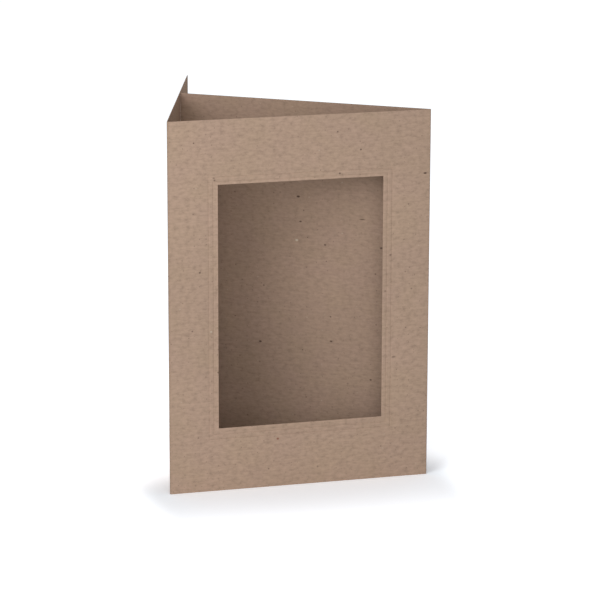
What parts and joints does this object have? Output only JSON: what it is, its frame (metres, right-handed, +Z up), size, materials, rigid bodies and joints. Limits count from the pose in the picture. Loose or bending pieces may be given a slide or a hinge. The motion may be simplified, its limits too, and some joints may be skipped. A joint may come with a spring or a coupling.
{
  "type": "passe-partout card",
  "caption": "Folded card with a die-cut window, framed by an embossed double line, stood up open on its long folds so that its back leans on the flap.",
  "frame": {"origin": "centre of the card's footprint, on the surface that it stands on", "axes": "+Z up along the folds; the window panel faces -Y; +X runs along it, from the flap's fold to the back panel's fold"},
  "size_m": [0.12, 0.1128, 0.169],
  "materials": {
    "kraft_card": "matte, uncoated, recycled, with fine fibre flecks"
  },
  "bodies": {
    "root": {"folded_card": "kraft_card"}
  },
  "joints": []
}
